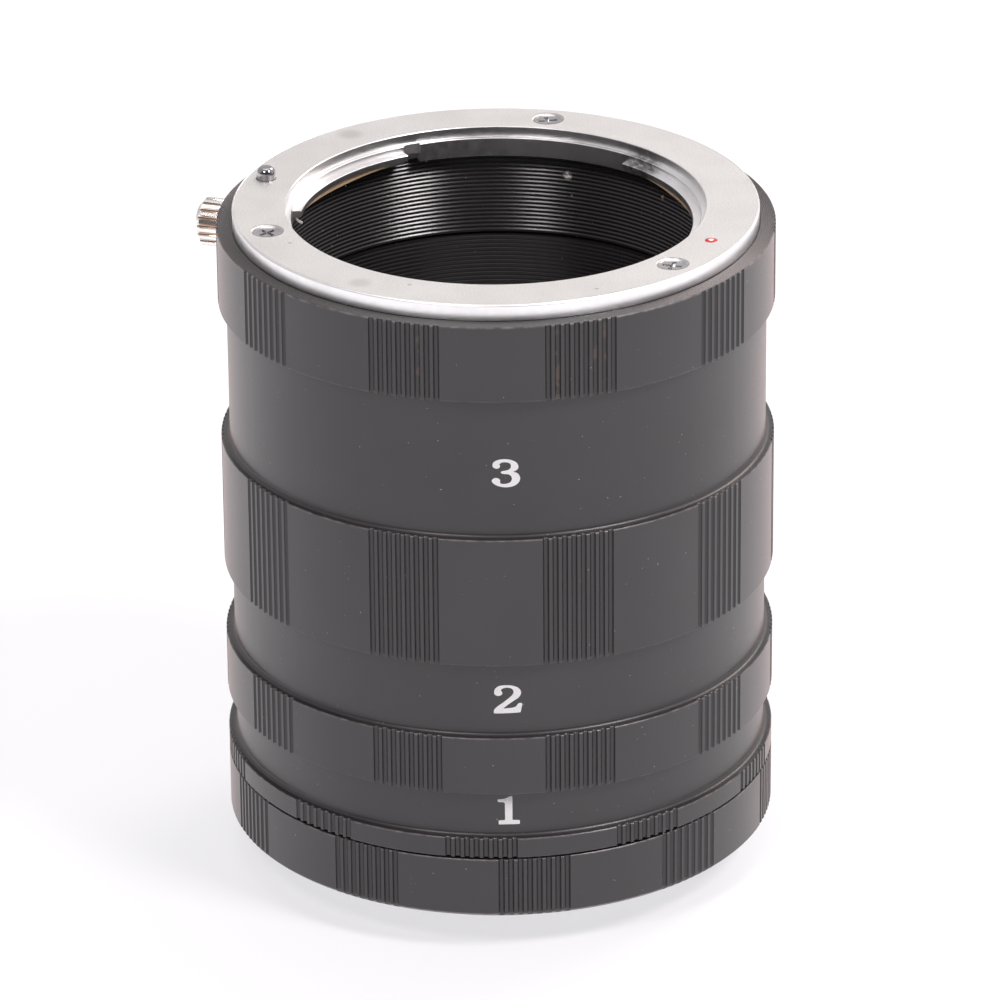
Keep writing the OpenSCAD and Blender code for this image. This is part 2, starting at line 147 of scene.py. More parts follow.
@dataclass(frozen=True)
class BlackAnodised:
    """Black anodised aluminium, turned, lightly blasted and dyed: satin charcoal with paler rubbed edges, and painted
    shade in the knurl's grooves.
    """

    name: str = "black_anodised"
    colour: str = "#211e20"
    faded: str = "#292628"
    # painted shade: this colour darkens the knurl's grooves towards their bottoms
    rubbed: str = "#8d8688"
    groove: str = "#1b191b"
    chip: str = "#8f7460"
    dust: str = "#b9b2ae"
    roughness: float = 0.42
    # the blasted grit is about 0.05 mm and drawn nearly three times as coarse, so that it shows
    grit_mm: float = 0.14
    # the dye is cloudy over a few millimetres
    cloud_mm: float = 9.0
    # specks of dust are about 0.15 mm, a few in each square centimetre
    speck_mm: float = 0.3
    # bare metal shows in the grooves, and edges are rubbed, in streaks of about half a millimetre
    streak_mm: float = 0.9
    # the porous oxide scatters a warm haze at grazing angles
    sheen: float = 0.5
    sheen_rough: float = 0.26
    haze: str = "#ffd0c6"
    # the sealed oxide is a clear layer with an IOR of about 1.6
    seal: float = 0.3
    seal_rough: float = 0.3
    seal_ior: float = 1.6
    # marks on the wall: painted glints as well as nicks
    nicks_and_glints: tuple[tuple[float, float, float, float, str], ...] = ()

    def build(self) -> bpy.types.Material:
        """Build the node material.

        Returns:
            The material.
        """
        material, tree = new_tree(self.name)
        place = add(tree, "TexCoord", out="Object")
        grit, cloud, speck, streak = (
            add(tree, "TexNoise", {"Vector": place, "Scale": 1 / (size * MM), "Detail": detail})
            for size, detail in (
                (self.grit_mm, 2.0), (self.cloud_mm, 3.0), (self.speck_mm, 1.0), (self.streak_mm, 4.0)
            )
        )
        edge, groove, bare = (add(tree, "Attribute", out="Fac", attribute_name=n) for n in ("edge", "groove", "bare"))
        cloudy = add(tree, "MapRange", {0: cloud, 1: 0.3, 2: 0.7})
        dusty = add(tree, "MapRange", {0: speck, 1: 0.79, 2: 0.82, 4: 0.7})
        streaky = add(tree, "MapRange", {0: streak, 1: 0.35, 2: 0.65, 3: 0.1, 4: 0.9})
        worn = add(tree, "Math", {0: edge, 1: streaky}, operation="MULTIPLY")
        flaked = add(tree, "MapRange", {0: streak, 1: 0.56, 2: 0.6, 4: 0.2})
        patch = add(tree, "Math", {0: flaked, 1: bare}, operation="MULTIPLY")
        deep = add(tree, "MapRange", {0: groove, 1: 0.3, 2: 0.9})
        bottom = add(tree, "Math", {0: patch, 1: deep}, operation="MULTIPLY")
        colour: Any = linear(self.colour)
        layers = (
            # the groove layer paints shade into the knurl's cuts, darker where they are cut deeper
            (cloudy, self.faded), (dusty, self.dust), (groove, self.groove), (worn, self.rubbed), (bottom, self.chip),
            # the marks hold painted glints as well as bare or dusty nicks
            *((spot(tree, place, speck, at, size), metal) for *at, size, metal in self.nicks_and_glints),
        )
        for share, tint in layers:
            colour = add(tree, "Mix", {0: share, 6: colour, 7: linear(tint)}, 2, data_type="RGBA")
        rough = add(tree, "MapRange", {0: grit, 1: 0.3, 2: 0.7, 3: self.roughness - 0.04, 4: self.roughness + 0.05})
        bump = add(tree, "Bump", {"Strength": 0.1, "Distance": 0.02 * MM, "Height": grit})
        shader = add(tree, "BsdfPrincipled", {
            "Base Color": colour, "Roughness": rough, "Normal": bump, "Sheen Weight": self.sheen,
            "Sheen Roughness": self.sheen_rough, "Sheen Tint": linear(self.haze), "Coat Weight": self.seal,
            "Coat Roughness": self.seal_rough, "Coat IOR": self.seal_ior,
        })
        add(tree, "OutputMaterial", {0: shader})
        return material


@dataclass(frozen=True)
class Chrome:
    """Plated metal: neutral bright chrome, satin or polished by its roughness, with a few handling marks and patches
    of painted shade.
    """

    name: str
    colour: str
    shade: str
    roughness: float
    grain_mm: float
    grain: float
    marks: tuple[tuple[float, float, float, float, float], ...] = ()
    speckle: float = 0.0
    tarnish: str = ""
    # tint of the marks: smudges on the satin face, painted shade on the lug's end
    smudge_and_shade: str = "#6a6562"
    metal: float = 1.0
    cloud_mm: float = 6.0
    # pinholes and dried specks of about 0.1 mm
    speck_mm: float = 0.35
    dull: str = "#8f8a88"
    pinhole: str = "#7d736e"

    def build(self) -> bpy.types.Material:
        """Build the node material.

        Returns:
            The material.
        """
        material, tree = new_tree(self.name)
        place = add(tree, "TexCoord", out="Object")
        grain, cloud, speck = (
            add(tree, "TexNoise", {"Vector": place, "Scale": 1 / (size * MM), "Detail": detail})
            for size, detail in ((self.grain_mm, 3.0), (self.cloud_mm, 4.0), (self.speck_mm, 1.0))
        )
        layers = [
            (add(tree, "MapRange", {0: cloud, 1: 0.35, 2: 0.75}), self.shade),
            # the blasted grain is shown by a little light and dark, besides the bump
            (add(tree, "MapRange", {0: grain, 1: 0.35, 2: 0.65, 3: self.speckle, 4: 0.0}), self.dull),
            (add(tree, "MapRange", {0: speck, 1: 0.78, 2: 0.81, 4: 0.4}), self.pinhole),
        ]
        for *at, size, strength in self.marks:
            mark = spot(tree, place, grain, at, size)
            layers.append((add(tree, "Math", {0: mark, 1: strength}, operation="MULTIPLY"), self.smudge_and_shade))
        if self.tarnish:
            groove = add(tree, "Attribute", out="Fac", attribute_name="groove")
            layers.append((add(tree, "MapRange", {0: groove, 1: 0.45, 2: 1.0, 4: 0.9}), self.tarnish))
        colour: Any = linear(self.colour)
        for share, tint in layers:
            colour = add(tree, "Mix", {0: share, 6: colour, 7: linear(tint)}, 2, data_type="RGBA")
        rough = add(tree, "MapRange", {0: grain, 1: 0.3, 2: 0.7, 3: self.roughness * 0.88, 4: self.roughness * 1.12})
        bump = add(tree, "Bump", {"Strength": self.grain, "Distance": 0.01 * MM, "Height": grain})
        shader = add(tree, "BsdfPrincipled", {
            "Base Color": colour, "Metallic": self.metal, "Roughness": rough, "Normal": bump,
        })
        add(tree, "OutputMaterial", {0: shader})
        return material


@dataclass(frozen=True)
class Enamel:
    """Enamel or filled paint: one colour, clouded a little, glossy or chalky by its roughness."""

    name: str
    colour: str
    shade: str
    roughness: float
    cloud_mm: float = 0.5

    def build(self) -> bpy.types.Material:
        """Build the node material.

        Returns:
            The material.
        """
        material, tree = new_tree(self.name)
        place = add(tree, "TexCoord", out="Object")
        cloud = add(tree, "TexNoise", {"Vector": place, "Scale": 1 / (self.cloud_mm * MM), "Detail": 3.0})
        cloudy = add(tree, "MapRange", {0: cloud, 1: 0.5, 2: 0.75})
        colour = add(tree, "Mix", {0: cloudy, 6: linear(self.colour), 7: linear(self.shade)}, 2, data_type="RGBA")
        shader = add(tree, "BsdfPrincipled", {"Base Color": colour, "Roughness": self.roughness})
        add(tree, "OutputMaterial", {0: shader})
        return material


@dataclass
class Knurl:
    """Groups of straight grooves round a collar."""

    azimuth: float
    radius: float
    groups: int = 10
    grooves: int = 8
    pitch: float = 1.95
    width: float = 0.6
    depth: float = 0.27
    land_step: float = 2.6
    across: tuple[float, ...] = (-1.0, -0.86, -0.5, 0.0, 0.5, 0.86, 1.0)

    def samples(self) -> list[tuple[float, float]]:
        """List the directions round the collar with the depth cut at each.

        Returns:
            Pairs of direction in degrees and depth in millimetres, in order.
        """
        cut = (self.width**2 / 4 + self.depth**2) / (2 * self.depth)
        half = math.degrees(self.width / 2 / self.radius)
        found: list[tuple[float, float]] = []
        for g in range(self.groups):
            middle = self.azimuth + g * 360 / self.groups
            for i in range(self.grooves):
                centre = middle + (i - (self.grooves - 1) / 2) * self.pitch
                for a in self.across:
                    x = a * self.width / 2
                    deep = max(0.0, self.depth - cut + math.sqrt(max(0.0, cut**2 - x**2)))
                    found.append((centre + a * half, deep if abs(a) < 1 else 0.0))
            start = found[-1][0]
            end = middle + 360 / self.groups - (self.grooves - 1) / 2 * self.pitch - half
            steps = max(2, round((end - start) / self.land_step))
            found += [(start + (end - start) * k / steps, 0.0) for k in range(1, steps)]
        return found


@dataclass
class Lugs:
    """Bayonet lugs round a ring, given as the parts that are cut back or reach out."""

    spans: tuple[tuple[float, float], ...]
    reach: float
    step: float = 1.5
    ramp: float = 0.35

    def samples(self) -> list[tuple[float, float]]:
        """List the directions round the ring with the reach at each.

        Returns:
            Pairs of direction in degrees and reach in millimetres, in order.
        """
        marks = {k * self.step: 0.0 for k in range(round(360 / self.step))}
        for first, last in self.spans:
            for k in list(marks):
                if first - self.ramp < k < last + self.ramp or first - self.ramp < k - 360 < last + self.ramp:
                    marks[k] = self.reach
            marks |= {first % 360: self.reach, last % 360: self.reach}
            marks |= {(first - self.ramp) % 360: 0.0, (last + self.ramp) % 360: 0.0}
        return sorted(marks.items())


def even(count: int) -> list[tuple[float, float]]:
    """List evenly spaced directions with nothing cut."""
    return [(360 * k / count, 0.0) for k in range(count)]


@dataclass
class Station:
    """One loop of a turned profile."""

    radius: float
    height: float
    share: float = 0.0
    edge: float = 0.0
    skin: Skin = Skin.OUTSIDE


@dataclass
class Turned:
    """A turned piece: a profile swept round its axis, cut back by a station's share of the samples' depth."""

    name: str
    body: str
    stations: list[Station]
    samples: list[tuple[float, float]]
    finishes: list[bpy.types.Material]
    closed: bool = True
    place: Matrix = field(default_factory=lambda: Matrix.Identity(4))
    sharp: float = 33.0
    bare: tuple[tuple[float, float], ...] = ()

    def build(self) -> bpy.types.Object:
        """Build the mesh with its wear, groove and bare-metal values.

        Returns:
            The new object.
        """
        count, rows = len(self.samples), len(self.stations)
        deepest = max(d for _, d in self.samples) or 1.0
        vertices: list[tuple[float, float, float]] = []
        values: dict[str, list[float]] = {"edge": [], "groove": [], "bare": []}
        for s in self.stations:
            for angle, deep in self.samples:
                cut = deep * s.share
                r, a = (s.radius - cut) * MM, math.radians(angle)
                vertices.append((r * math.cos(a), r * math.sin(a), s.height * MM))
                # an edge is rubbed half as far where a groove crosses it
                values["edge"].append(s.edge * (0.5 if cut else 1.0))
                values["groove"].append(cut / deepest)
                values["bare"].append(float(any(abs((angle - m + 180) % 360 - 180) < w for m, w in self.bare)))
        faces, slots = [], []
        for j in range(rows if self.closed else rows - 1):
            k = (j + 1) % rows
            for i in range(count):
                n = (i + 1) % count
                faces.append((j * count + i, j * count + n, k * count + n, k * count + i))
                slots.append(self.stations[j].skin.value)
        mesh = bpy.data.meshes.new(self.name)
        mesh.from_pydata(vertices, [], faces)
        for title, numbers in values.items():
            mesh.attributes.new(title, "FLOAT", "POINT").data.foreach_set("value", numbers)
        for f in self.finishes:
            mesh.materials.append(f)
        mesh.polygons.foreach_set("material_index", slots)
        mesh.transform(self.place)
        return place_mesh(mesh, self.body, self.sharp)


def place_work(
    work: bmesh.types.BMesh, name: str, finish: bpy.types.Material, body: str, sharp: float
) -> bpy.types.Object:
    """Turn a finished bmesh into a piece of one finish.

    Args:
        work: Geometry in the row frame. It is freed.
        name: Name of the piece.
        finish: Material all over it.
        body: Moving body that carries it.
        sharp: Angle in degrees over which an edge stays sharp.

    Returns:
        The new object.
    """
    mesh = bpy.data.meshes.new(name)
    work.to_mesh(mesh)
    work.free()
    mesh.materials.append(finish)
    return place_mesh(mesh, body, sharp)


def place_mesh(mesh: bpy.types.Mesh, body: str, sharp: float) -> bpy.types.Object:
    """Clean and shade a mesh, link it and let it ride.

    Args:
        mesh: Mesh in the row frame.
        body: Moving body that carries it.
        sharp: Angle in degrees over which an edge stays sharp.

    Returns:
        The new object.
    """
    work = bmesh.new()
    work.from_mesh(mesh)
    bmesh.ops.remove_doubles(work, verts=work.verts, dist=1e-7)
    bmesh.ops.recalc_face_normals(work, faces=work.faces)
    work.to_mesh(mesh)
    work.free()
    mesh.shade_smooth()
    mesh.set_sharp_from_angle(angle=math.radians(sharp))
    made = bpy.data.objects.new(mesh.name, mesh)
    bpy.context.scene.collection.objects.link(made)
    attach(made, body)
    return made


def arc(centre: tuple[float, float], radius: float, start: float, end: float, steps: int) -> list[tuple[float, float]]:
    """Points along an arc in a profile, both ends included."""
    turns = [math.radians(start + (end - start) * k / steps) for k in range(steps + 1)]
    return [(centre[0] + radius * math.cos(t), centre[1] + radius * math.sin(t)) for t in turns]


def ridged(radius: float, low: float, high: float, pitch: float, depth: float) -> list[Station]:
    """Stations of an inner wall with fine turned ridges, going up.

    Args:
        radius: Radius of the ridges' crests.
        low: Height where the ridges start.
        high: Height where they end.
        pitch: Distance between two ridges.
        depth: Depth between them.

    Returns:
        The stations, from low to high.
    """
    count = max(1, round((high - low) / pitch))
    step = (high - low) / count
    # the crest is narrow, and the upper flank leans back by about 40 degrees
    wave = ((0.0, 0.0), (0.3, 0.0), (0.44, 0.5), (0.58, 1.0), (0.66, 1.0), (0.84, 0.5))
    found = [
        Station(radius + depth * deep, low + (k + along) * step, skin=Skin.INSIDE)
        for k in range(count)
        for along, deep in wave
    ]
    return [*found, Station(radius, high, skin=Skin.INSIDE)]


def upright(azimuth: float, radius: float, height: float) -> Matrix:
    """Frame at a direction and radius round the axis, with X pointing outwards and Z up."""
    return Matrix.Rotation(math.radians(azimuth), 4, "Z") @ Matrix.Translation(Vector((radius, 0, height)) * MM)


def sweep(
    profile: Sequence[tuple[float, float]], share: float = 0.0, edge: float = 0.0, skin: Skin = Skin.OUTSIDE
) -> list[Station]:
    """Stations from a profile's points, all alike in the rest."""
    return [Station(r, z, share, edge, skin) for r, z in profile]


def collar(radius: float, low: float, high: float, bevel: float, wear: float) -> list[Station]:
    """Stations down a knurled collar with broken edges.

    Args:
        radius: Radius of the collar's lands.
        low: Height of its lower end.
        high: Height of its upper end.
        bevel: Width of the broken edges.
        wear: How far the upper edge is rubbed pale.

    Returns:
        The stations, from the upper edge to the lower one.
    """
    return [
        *sweep([(radius - bevel, high), (radius, high - bevel)], CUT, wear),
        *sweep([(radius, high - 3 * bevel), (radius, low + 3 * bevel)], CUT),
        Station(radius, low + bevel, CUT, 0.25),
        Station(radius - bevel, low, CUT, 0.15),
    ]


def prism(work: bmesh.types.BMesh, loops: Sequence[Sequence[Vector]]) -> None:
    """Join two or more loops of points into a closed solid.

    Args:
        work: Mesh that gets the solid.
        loops: Loops of the same number of points, from one end to the other.
    """
    rows = [[work.verts.new(p) for p in loop] for loop in loops]
    work.faces.new(rows[0])
    work.faces.new(list(reversed(rows[-1])))
    for low, high in zip(rows, rows[1:]):
        for i in range(len(low)):
            n = (i + 1) % len(low)
            work.faces.new((low[i], high[i], high[n], low[n]))


def carve(target: bpy.types.Object, work: bmesh.types.BMesh, sharp: float) -> None:
    """Cut solids out of a piece for good.

    Args:
        target: Piece that is cut.
        work: Solids to cut away, in the row frame. It is freed.
        sharp: Angle in degrees over which an edge stays sharp.
    """
    bmesh.ops.recalc_face_normals(work, faces=work.faces)
    mesh = bpy.data.meshes.new("cutter")
    work.to_mesh(mesh)
    work.free()
    cutter = bpy.data.objects.new("cutter", mesh)
    bpy.context.scene.collection.objects.link(cutter)
    change = target.modifiers.new("cut", "BOOLEAN")
    change.operation, change.object, change.solver = "DIFFERENCE", cutter, "EXACT"
    bpy.context.view_layer.update()
    result = bpy.data.meshes.new_from_object(target.evaluated_get(bpy.context.evaluated_depsgraph_get()))
    target.modifiers.clear()
    result.name = target.name
    target.data = result
    bpy.data.objects.remove(cutter)
    result.set_sharp_from_angle(angle=math.radians(sharp))


def hole(work: bmesh.types.BMesh, profile: Sequence[tuple[float, float]], place: Matrix, steps: int = 48) -> None:
    """Add a round cutter to a set of cutters.

    Args:
        work: Mesh that gets the cutter.
        profile: Radius and height of each loop, from the top down.
        place: Frame of the cutter.
        steps: Points round it.
    """
    turns = [2 * math.pi * k / steps for k in range(steps)]
    prism(work, [[place @ (Vector((r * math.cos(t), r * math.sin(t), z)) * MM) for t in turns] for r, z in profile])


@dataclass
class Screw:
    """A small countersunk screw with a cross recess."""

    name: str
    node: str
    body: str
    place: Matrix
    metal: bpy.types.Material
    head_r: float = 1.52
    shank_r: float = 0.8
    length: float = 3.6
    dish: float = 0.2
    recess_long: float = 0.95
    recess_wide: float = 0.2
    recess_deep: float = 0.6
    recess_az: float = 25.0

    def build(self) -> bpy.types.Object:
        """Build the screw and let it stand for its node.

        Returns:
            The new object.
        """
        r, d = self.head_r, self.dish
        profile = [
            (0, -d), (r * 0.5, -d), (r * 0.74, -d * 0.8), (r * 0.88, -d * 0.4), (r * 0.96, -d * 0.5), (r, -d * 1.1),
            (self.shank_r, -d - 0.85), (self.shank_r, -self.length), (0, -self.length),
        ]
        made = Turned(
            self.name, self.body, sweep(profile), even(48), [self.metal], closed=False, place=self.place, sharp=30,
        ).build()
        work = bmesh.new()
        spin = self.place @ Matrix.Rotation(math.radians(self.recess_az), 4, "Z")
        loops = []
        # one plus-shaped cutter, which narrows downwards
        for z, k in ((0.2, 1.1), (-d, 1.0), (-d - self.recess_deep, 0.42)):
            a, b = self.recess_long * k, self.recess_wide * k
            arm = ((a, -b), (a, b), (b, b))
            cross = [(x * c - y * s, x * s + y * c) for c, s in ((1, 0), (0, 1), (-1, 0), (0, -1)) for x, y in arm]
            loops.append([spin @ (Vector((x, y, z)) * MM) for x, y in cross])
        prism(work, loops)
        carve(made, work, 30)
        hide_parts(self.node)
        return made


GLYPHS: dict[int, tuple[tuple[int, int], ...]] = {
    1: (
        (138, 128), (195, 124), (250, 112), (292, 92), (325, 86), (339, 100), (340, 200), (340, 300), (340, 398),
        (352, 412), (430, 416), (443, 430), (441, 460), (428, 470), (300, 470), (160, 470), (147, 460), (146, 430),
        (158, 416), (222, 412), (235, 398), (235, 300), (235, 200), (232, 178), (210, 167), (152, 164), (134, 148),
    ),
    2: (
        (100, 165), (108, 130), (135, 100), (180, 80), (250, 72), (330, 76), (400, 95), (450, 125), (472, 165),
        (465, 205), (440, 240), (395, 270), (330, 311), (270, 352), (232, 386), (290, 385), (350, 380), (392, 368),
        (415, 348), (428, 328), (446, 320), (484, 326), (478, 380), (466, 430), (450, 446), (300, 452), (110, 453),
        (95, 440), (97, 412), (112, 388), (150, 356), (210, 315), (280, 266), (335, 222), (362, 188), (368, 160),
        (355, 130), (325, 112), (285, 105), (240, 109), (208, 122), (193, 138), (205, 157), (214, 180), (200, 204),
        (160, 216), (120, 206), (103, 187),
    ),
    3: (
        (92, 170), (100, 144), (127, 117), (172, 99), (240, 90), (320, 97), (390, 121), (431, 155), (447, 195),
        (438, 230), (410, 256), (376, 269), (422, 286), (456, 318), (470, 361), (460, 405), (425, 446), (370, 475),
        (290, 487), (210, 480), (140, 456), (98, 426), (80, 396), (94, 370), (125, 356), (161, 358), (188, 375),
        (197, 400), (193, 422), (218, 438), (266, 440), (320, 426), (350, 396), (356, 360), (341, 325), (305, 303),
        (255, 299), (217, 290), (205, 273), (225, 258), (270, 252), (315, 238), (340, 210), (344, 180), (330, 151),
        (290, 135), (238, 133), (204, 144), (188, 163), (195, 190), (181, 213), (150, 222), (115, 212), (95, 191),
    ),
}


@dataclass
class Numeral:
    """A ring's number: a slab-serif digit, engraved and filled flush with white paint."""

    number: int
    height: float
    size: tuple[float, float]
    paint: bpy.types.Material
    azimuth: float = 271.6
    radius: float = 26.85
    proud: float = 0.02
    sunk: float = 0.05
    steps: int = 4
    strips: int = 14

    def outline(self) -> list[tuple[float, float]]:
        """Smooth the digit's outline and give it in millimetres about its middle.

        Returns:
            The points, in order.
        """
        points = [Vector(p) for p in GLYPHS[self.number]]
        count, curve = len(points), []
        for i in range(count):
            p0, p1, p2, p3 = (points[(i + k) % count] for k in (-1, 0, 1, 2))
            for k in range(self.steps):
                t = k / self.steps
                bend, twist = 2 * p0 - 5 * p1 + 4 * p2 - p3, 3 * p1 - p0 - 3 * p2 + p3
                curve.append(0.5 * (2 * p1 + (p2 - p0) * t + bend * t**2 + twist * t**3))
        low = Vector((min(c.x for c in curve), min(c.y for c in curve)))
        high = Vector((max(c.x for c in curve), max(c.y for c in curve)))
        middle, wide, tall = (low + high) / 2, self.size[0] / (high.x - low.x), self.size[1] / (high.y - low.y)
        return [((c.x - middle.x) * wide, (middle.y - c.y) * tall) for c in curve]

    def build(self) -> bpy.types.Object:
        """Build the digit, bent round its neck.

        Returns:
            The new object.
        """
        work = bmesh.new()
        points = [Vector(p) for p in self.outline()]
        # option 1 keeps the triangles inside the outline, also where the smoothed curve crosses itself
        points, _, rings, *_ = delaunay_2d_cdt(points, [], [list(range(len(points)))], 1, 1e-5)
        corners = [work.verts.new((x, 0, z)) for x, z in points]
        for ring in rings:
            work.faces.new([corners[i] for i in ring])
        half = self.size[0] / 2
        for k in range(1, self.strips):
            at = (-half + 2 * half * k / self.strips, 0, 0)
            everything = [*work.verts, *work.edges, *work.faces]
            bmesh.ops.bisect_plane(work, geom=everything, dist=1e-6, plane_co=at, plane_no=(1, 0, 0))
        back = bmesh.ops.extrude_face_region(work, geom=list(work.faces))["geom"]
        for v in (g for g in back if isinstance(g, bmesh.types.BMVert)):
            v.co.y = -(self.proud + self.sunk)
        for v in work.verts:
            turn = math.radians(self.azimuth) + v.co.x / self.radius
            r = self.radius + self.proud + v.co.y
            v.co = Vector((r * math.cos(turn), r * math.sin(turn), self.height + v.co.z)) * MM
        # the paint is flat, so nearly every edge is kept sharp
        return place_work(work, f"numeral_{self.number}", self.paint, f"tube_ring_{self.number}", 0.1)


@dataclass
class TubeRing:
    """One tube ring: spigot below, knurled collar, cove and plain neck with a socket in its top."""

    number: int
    collar_h: float
    knurl_az: float
    numeral: Numeral
    outer: bpy.types.Material
    inner: bpy.types.Material
    spigot_h: float = 2.3
    socket_h: float = 2.6
    collar_r: float = 27.7
    neck_r: float = 26.85
    socket_r: float = 24.66
    spigot_r: float = 24.6
    bore_r: float = 21.6
    cove_r: float = 0.45
    break_edge: float = 0.06
    ridge_pitch: float = 0.45
    ridge_depth: float = 0.07
    ridge_run: float = 8.5

    def stations(self) -> list[Station]:
        """List the profile's stations, from the spigot's inner end round to its outer end.

        Returns:
            The stations, in order.
        """
        low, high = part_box(f"ring_{self.number}")
        end, top = low.z / MM, high.z / MM
        seam, b = end + self.spigot_h, self.break_edge
        shoulder, floor = seam + self.collar_h, top - self.socket_h
        cove = arc((self.neck_r + self.cove_r, shoulder + self.cove_r), self.cove_r, 180, 270, 7)
        start = max(floor - self.ridge_run, end + 0.5)
        return [
            Station(self.bore_r, end, skin=Skin.INSIDE),
            *ridged(self.bore_r, start, floor - 0.1, self.ridge_pitch, self.ridge_depth),
            *sweep([(self.bore_r, floor), (self.socket_r, floor)], skin=Skin.INSIDE),
            Station(self.socket_r, top),
            *sweep([(self.neck_r - b, top), (self.neck_r, top - b)], edge=0.6),
            *sweep([(self.neck_r, top - 3 * b), *cove]),
            Station(self.collar_r - 3 * b, shoulder, CUT),
            *collar(self.collar_r, seam, shoulder, b, 0.5),
            *sweep([(self.spigot_r, seam), (self.spigot_r, end)]),
        ]

    def build(self) -> list[bpy.types.Object]:
        """Build the ring with its number and let it stand for its node.

        Returns:
            The new objects.
        """
        name = f"tube_ring_{self.number}"
        knurl = Knurl(self.knurl_az, self.collar_r)
        made = Turned(name, name, self.stations(), knurl.samples(), [self.outer, self.inner]).build()
        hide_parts(f"ring_{self.number}")
        return [made, self.numeral.build()]


@dataclass
class LensMount:
    """The lens mount: knurled body with the lock's slot, chromed flange, leaf springs, screws and index bead."""

    outer: bpy.types.Material
    inner: bpy.types.Material
    satin: bpy.types.Material
    polished: bpy.types.Material
    bright: bpy.types.Material
    bronze: bpy.types.Material
    red: bpy.types.Material
    highlight_white: bpy.types.Material
    knurl_az: float = 251.0
    chipped: tuple[tuple[float, float], ...] = ((289.9, 0.7), (291.85, 0.7), (282.1, 0.6), (254.0, 0.5))
    spigot_h: float = 2.3
    collar_r: float = 27.7
    spigot_r: float = 24.6
    bore_r: float = 21.6
    rim_bevel: float = 0.08
    gap: tuple[float, float] = (0.08, 0.16)
    rim_rings: int = 16
    rim_pitch: float = 0.09
    rim_depth: float = 0.04
    ridge_pitch: float = 0.45
    ridge_depth: float = 0.1
    lock_az: float = 162.5
    pocket: tuple[float, float, float, float] = (22.75, 25.85, 2.35, 60.6)
    slot_half: float = 0.95
    slot_z: tuple[float, float] = (62.25, 63.65)
    face_z: float = 69.0
    flange_r: float = 26.1
    flange_round: float = 0.12
    scribe: tuple[float, float] = (0.1, 0.06)
    opening_r: float = 20.8
    ledge_z: float = 67.95
    gate_r: float = 20.3
    lug_z: tuple[float, float] = (66.6, 67.25)
    lug_reach: float = 0.8
    lug_spans: tuple[tuple[float, float], ...] = ((-14, 49), (117, 172), (237, 292))
    collar_of_flange_r: float = 21.55
    collar_bottom_z: float = 66.0
    notch: tuple[float, float] = (112.0, 117.0)
    notch_cuts: tuple[tuple[float, float, float], ...] = ((20.55, 66.9, 67.96), (21.4, 65.9, 66.91))
    screw_at: float = 23.4
    screw_az: tuple[float, float, float] = (76.7, 196.7, 316.7)
    pin_at: float = 24.0
    pin_hole_r: float = 1.02
    tail_at: float = 21.0
    tail_half: tuple[float, float] = (0.17, 0.08)
    tail: tuple[tuple[float, float], ...] = (
        (154.0, 65.4), (157.0, 65.85), (160.0, 66.03), (161.8, 66.02), (162.8, 65.6), (162.4, 65.15),
        (161.2, 64.7), (159.6, 64.25), (157.7, 63.85),
    )
    index_at: float = 23.3
    index_az: float = 334.2
    index_r: float = 0.61
    index_deep: float = 0.35

    def body_stations(self) -> list[Station]:
        """List the body's stations, from the spigot's inner end round to its outer end.

        Returns:
            The stations, in order.
        """
        low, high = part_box("lens_mount_body")
        end, top = low.z / MM, high.z / MM
        seam, b = end + self.spigot_h, self.rim_bevel
        # a narrow gap rings the flange, and the flat rim outside it is turned into fine concentric rings
        edge, (wide, deep) = self.flange_r, self.gap
        rim = [(self.bore_r, top), (edge - 0.2, top), (edge, top - deep), (edge + wide, top - deep)]
        rim += [
            (edge + 1.5 * wide + self.rim_pitch * k, top - (self.rim_depth if k % 2 else 0.0))
            for k in range(self.rim_rings)
        ]
        return [
            Station(self.bore_r, end, skin=Skin.INSIDE),
            *ridged(self.bore_r, end + 0.1, top - 1.3, self.ridge_pitch, self.ridge_depth),
            *sweep(rim),
            *collar(self.collar_r, seam, top, b, 0.55),
            *sweep([(self.spigot_r, seam), (self.spigot_r, end)]),
        ]

    def build_body(self) -> bpy.types.Object:
        """Build the knurled body and cut the lock's pocket and slot.

        Returns:
            The new object.
        """
        samples = Knurl(self.knurl_az, self.collar_r).samples()
        finishes = [self.outer, self.inner]
        body = Turned(
            "lens_mount_turned", "lens_mount", self.body_stations(), samples, finishes, bare=self.chipped,
        ).build()
        inner, outer, half, floor = self.pocket
        turn = upright(self.lock_az, 0, 0)
        work = bmesh.new()
        corners = ((inner, -half), (outer, -half), (outer, half), (inner, half))
        prism(work, [[turn @ (Vector((x, y, z)) * MM) for x, y in corners] for z in (floor, self.face_z + CLEAR)])
        carve(body, work, 33)
        work = bmesh.new()
        side = [
            (self.slot_half * math.cos(math.radians(a)), z + self.slot_half * math.sin(math.radians(a)))
            for z, start in ((self.slot_z[1], 0), (self.slot_z[0], 180))
            for a in range(start, start + 181, 15)
        ]
        ends = (outer - CLEAR, self.collar_r + CLEAR)
        prism(work, [[turn @ (Vector((x, y, z)) * MM) for y, z in side] for x in ends])
        carve(body, work, 33)
        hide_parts("lens_mount_body")
        return body

    def build_flange(self) -> bpy.types.Object:
        """Build the chromed flange with its lugs and holes.

        Returns:
            The new object.
        """
        body_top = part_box("lens_mount_body")[1].z / MM
        gate, z, out, b = self.gate_r, self.face_z, self.flange_r, self.flange_round
        foot, (lug_low, lug_high) = self.collar_bottom_z, self.lug_z
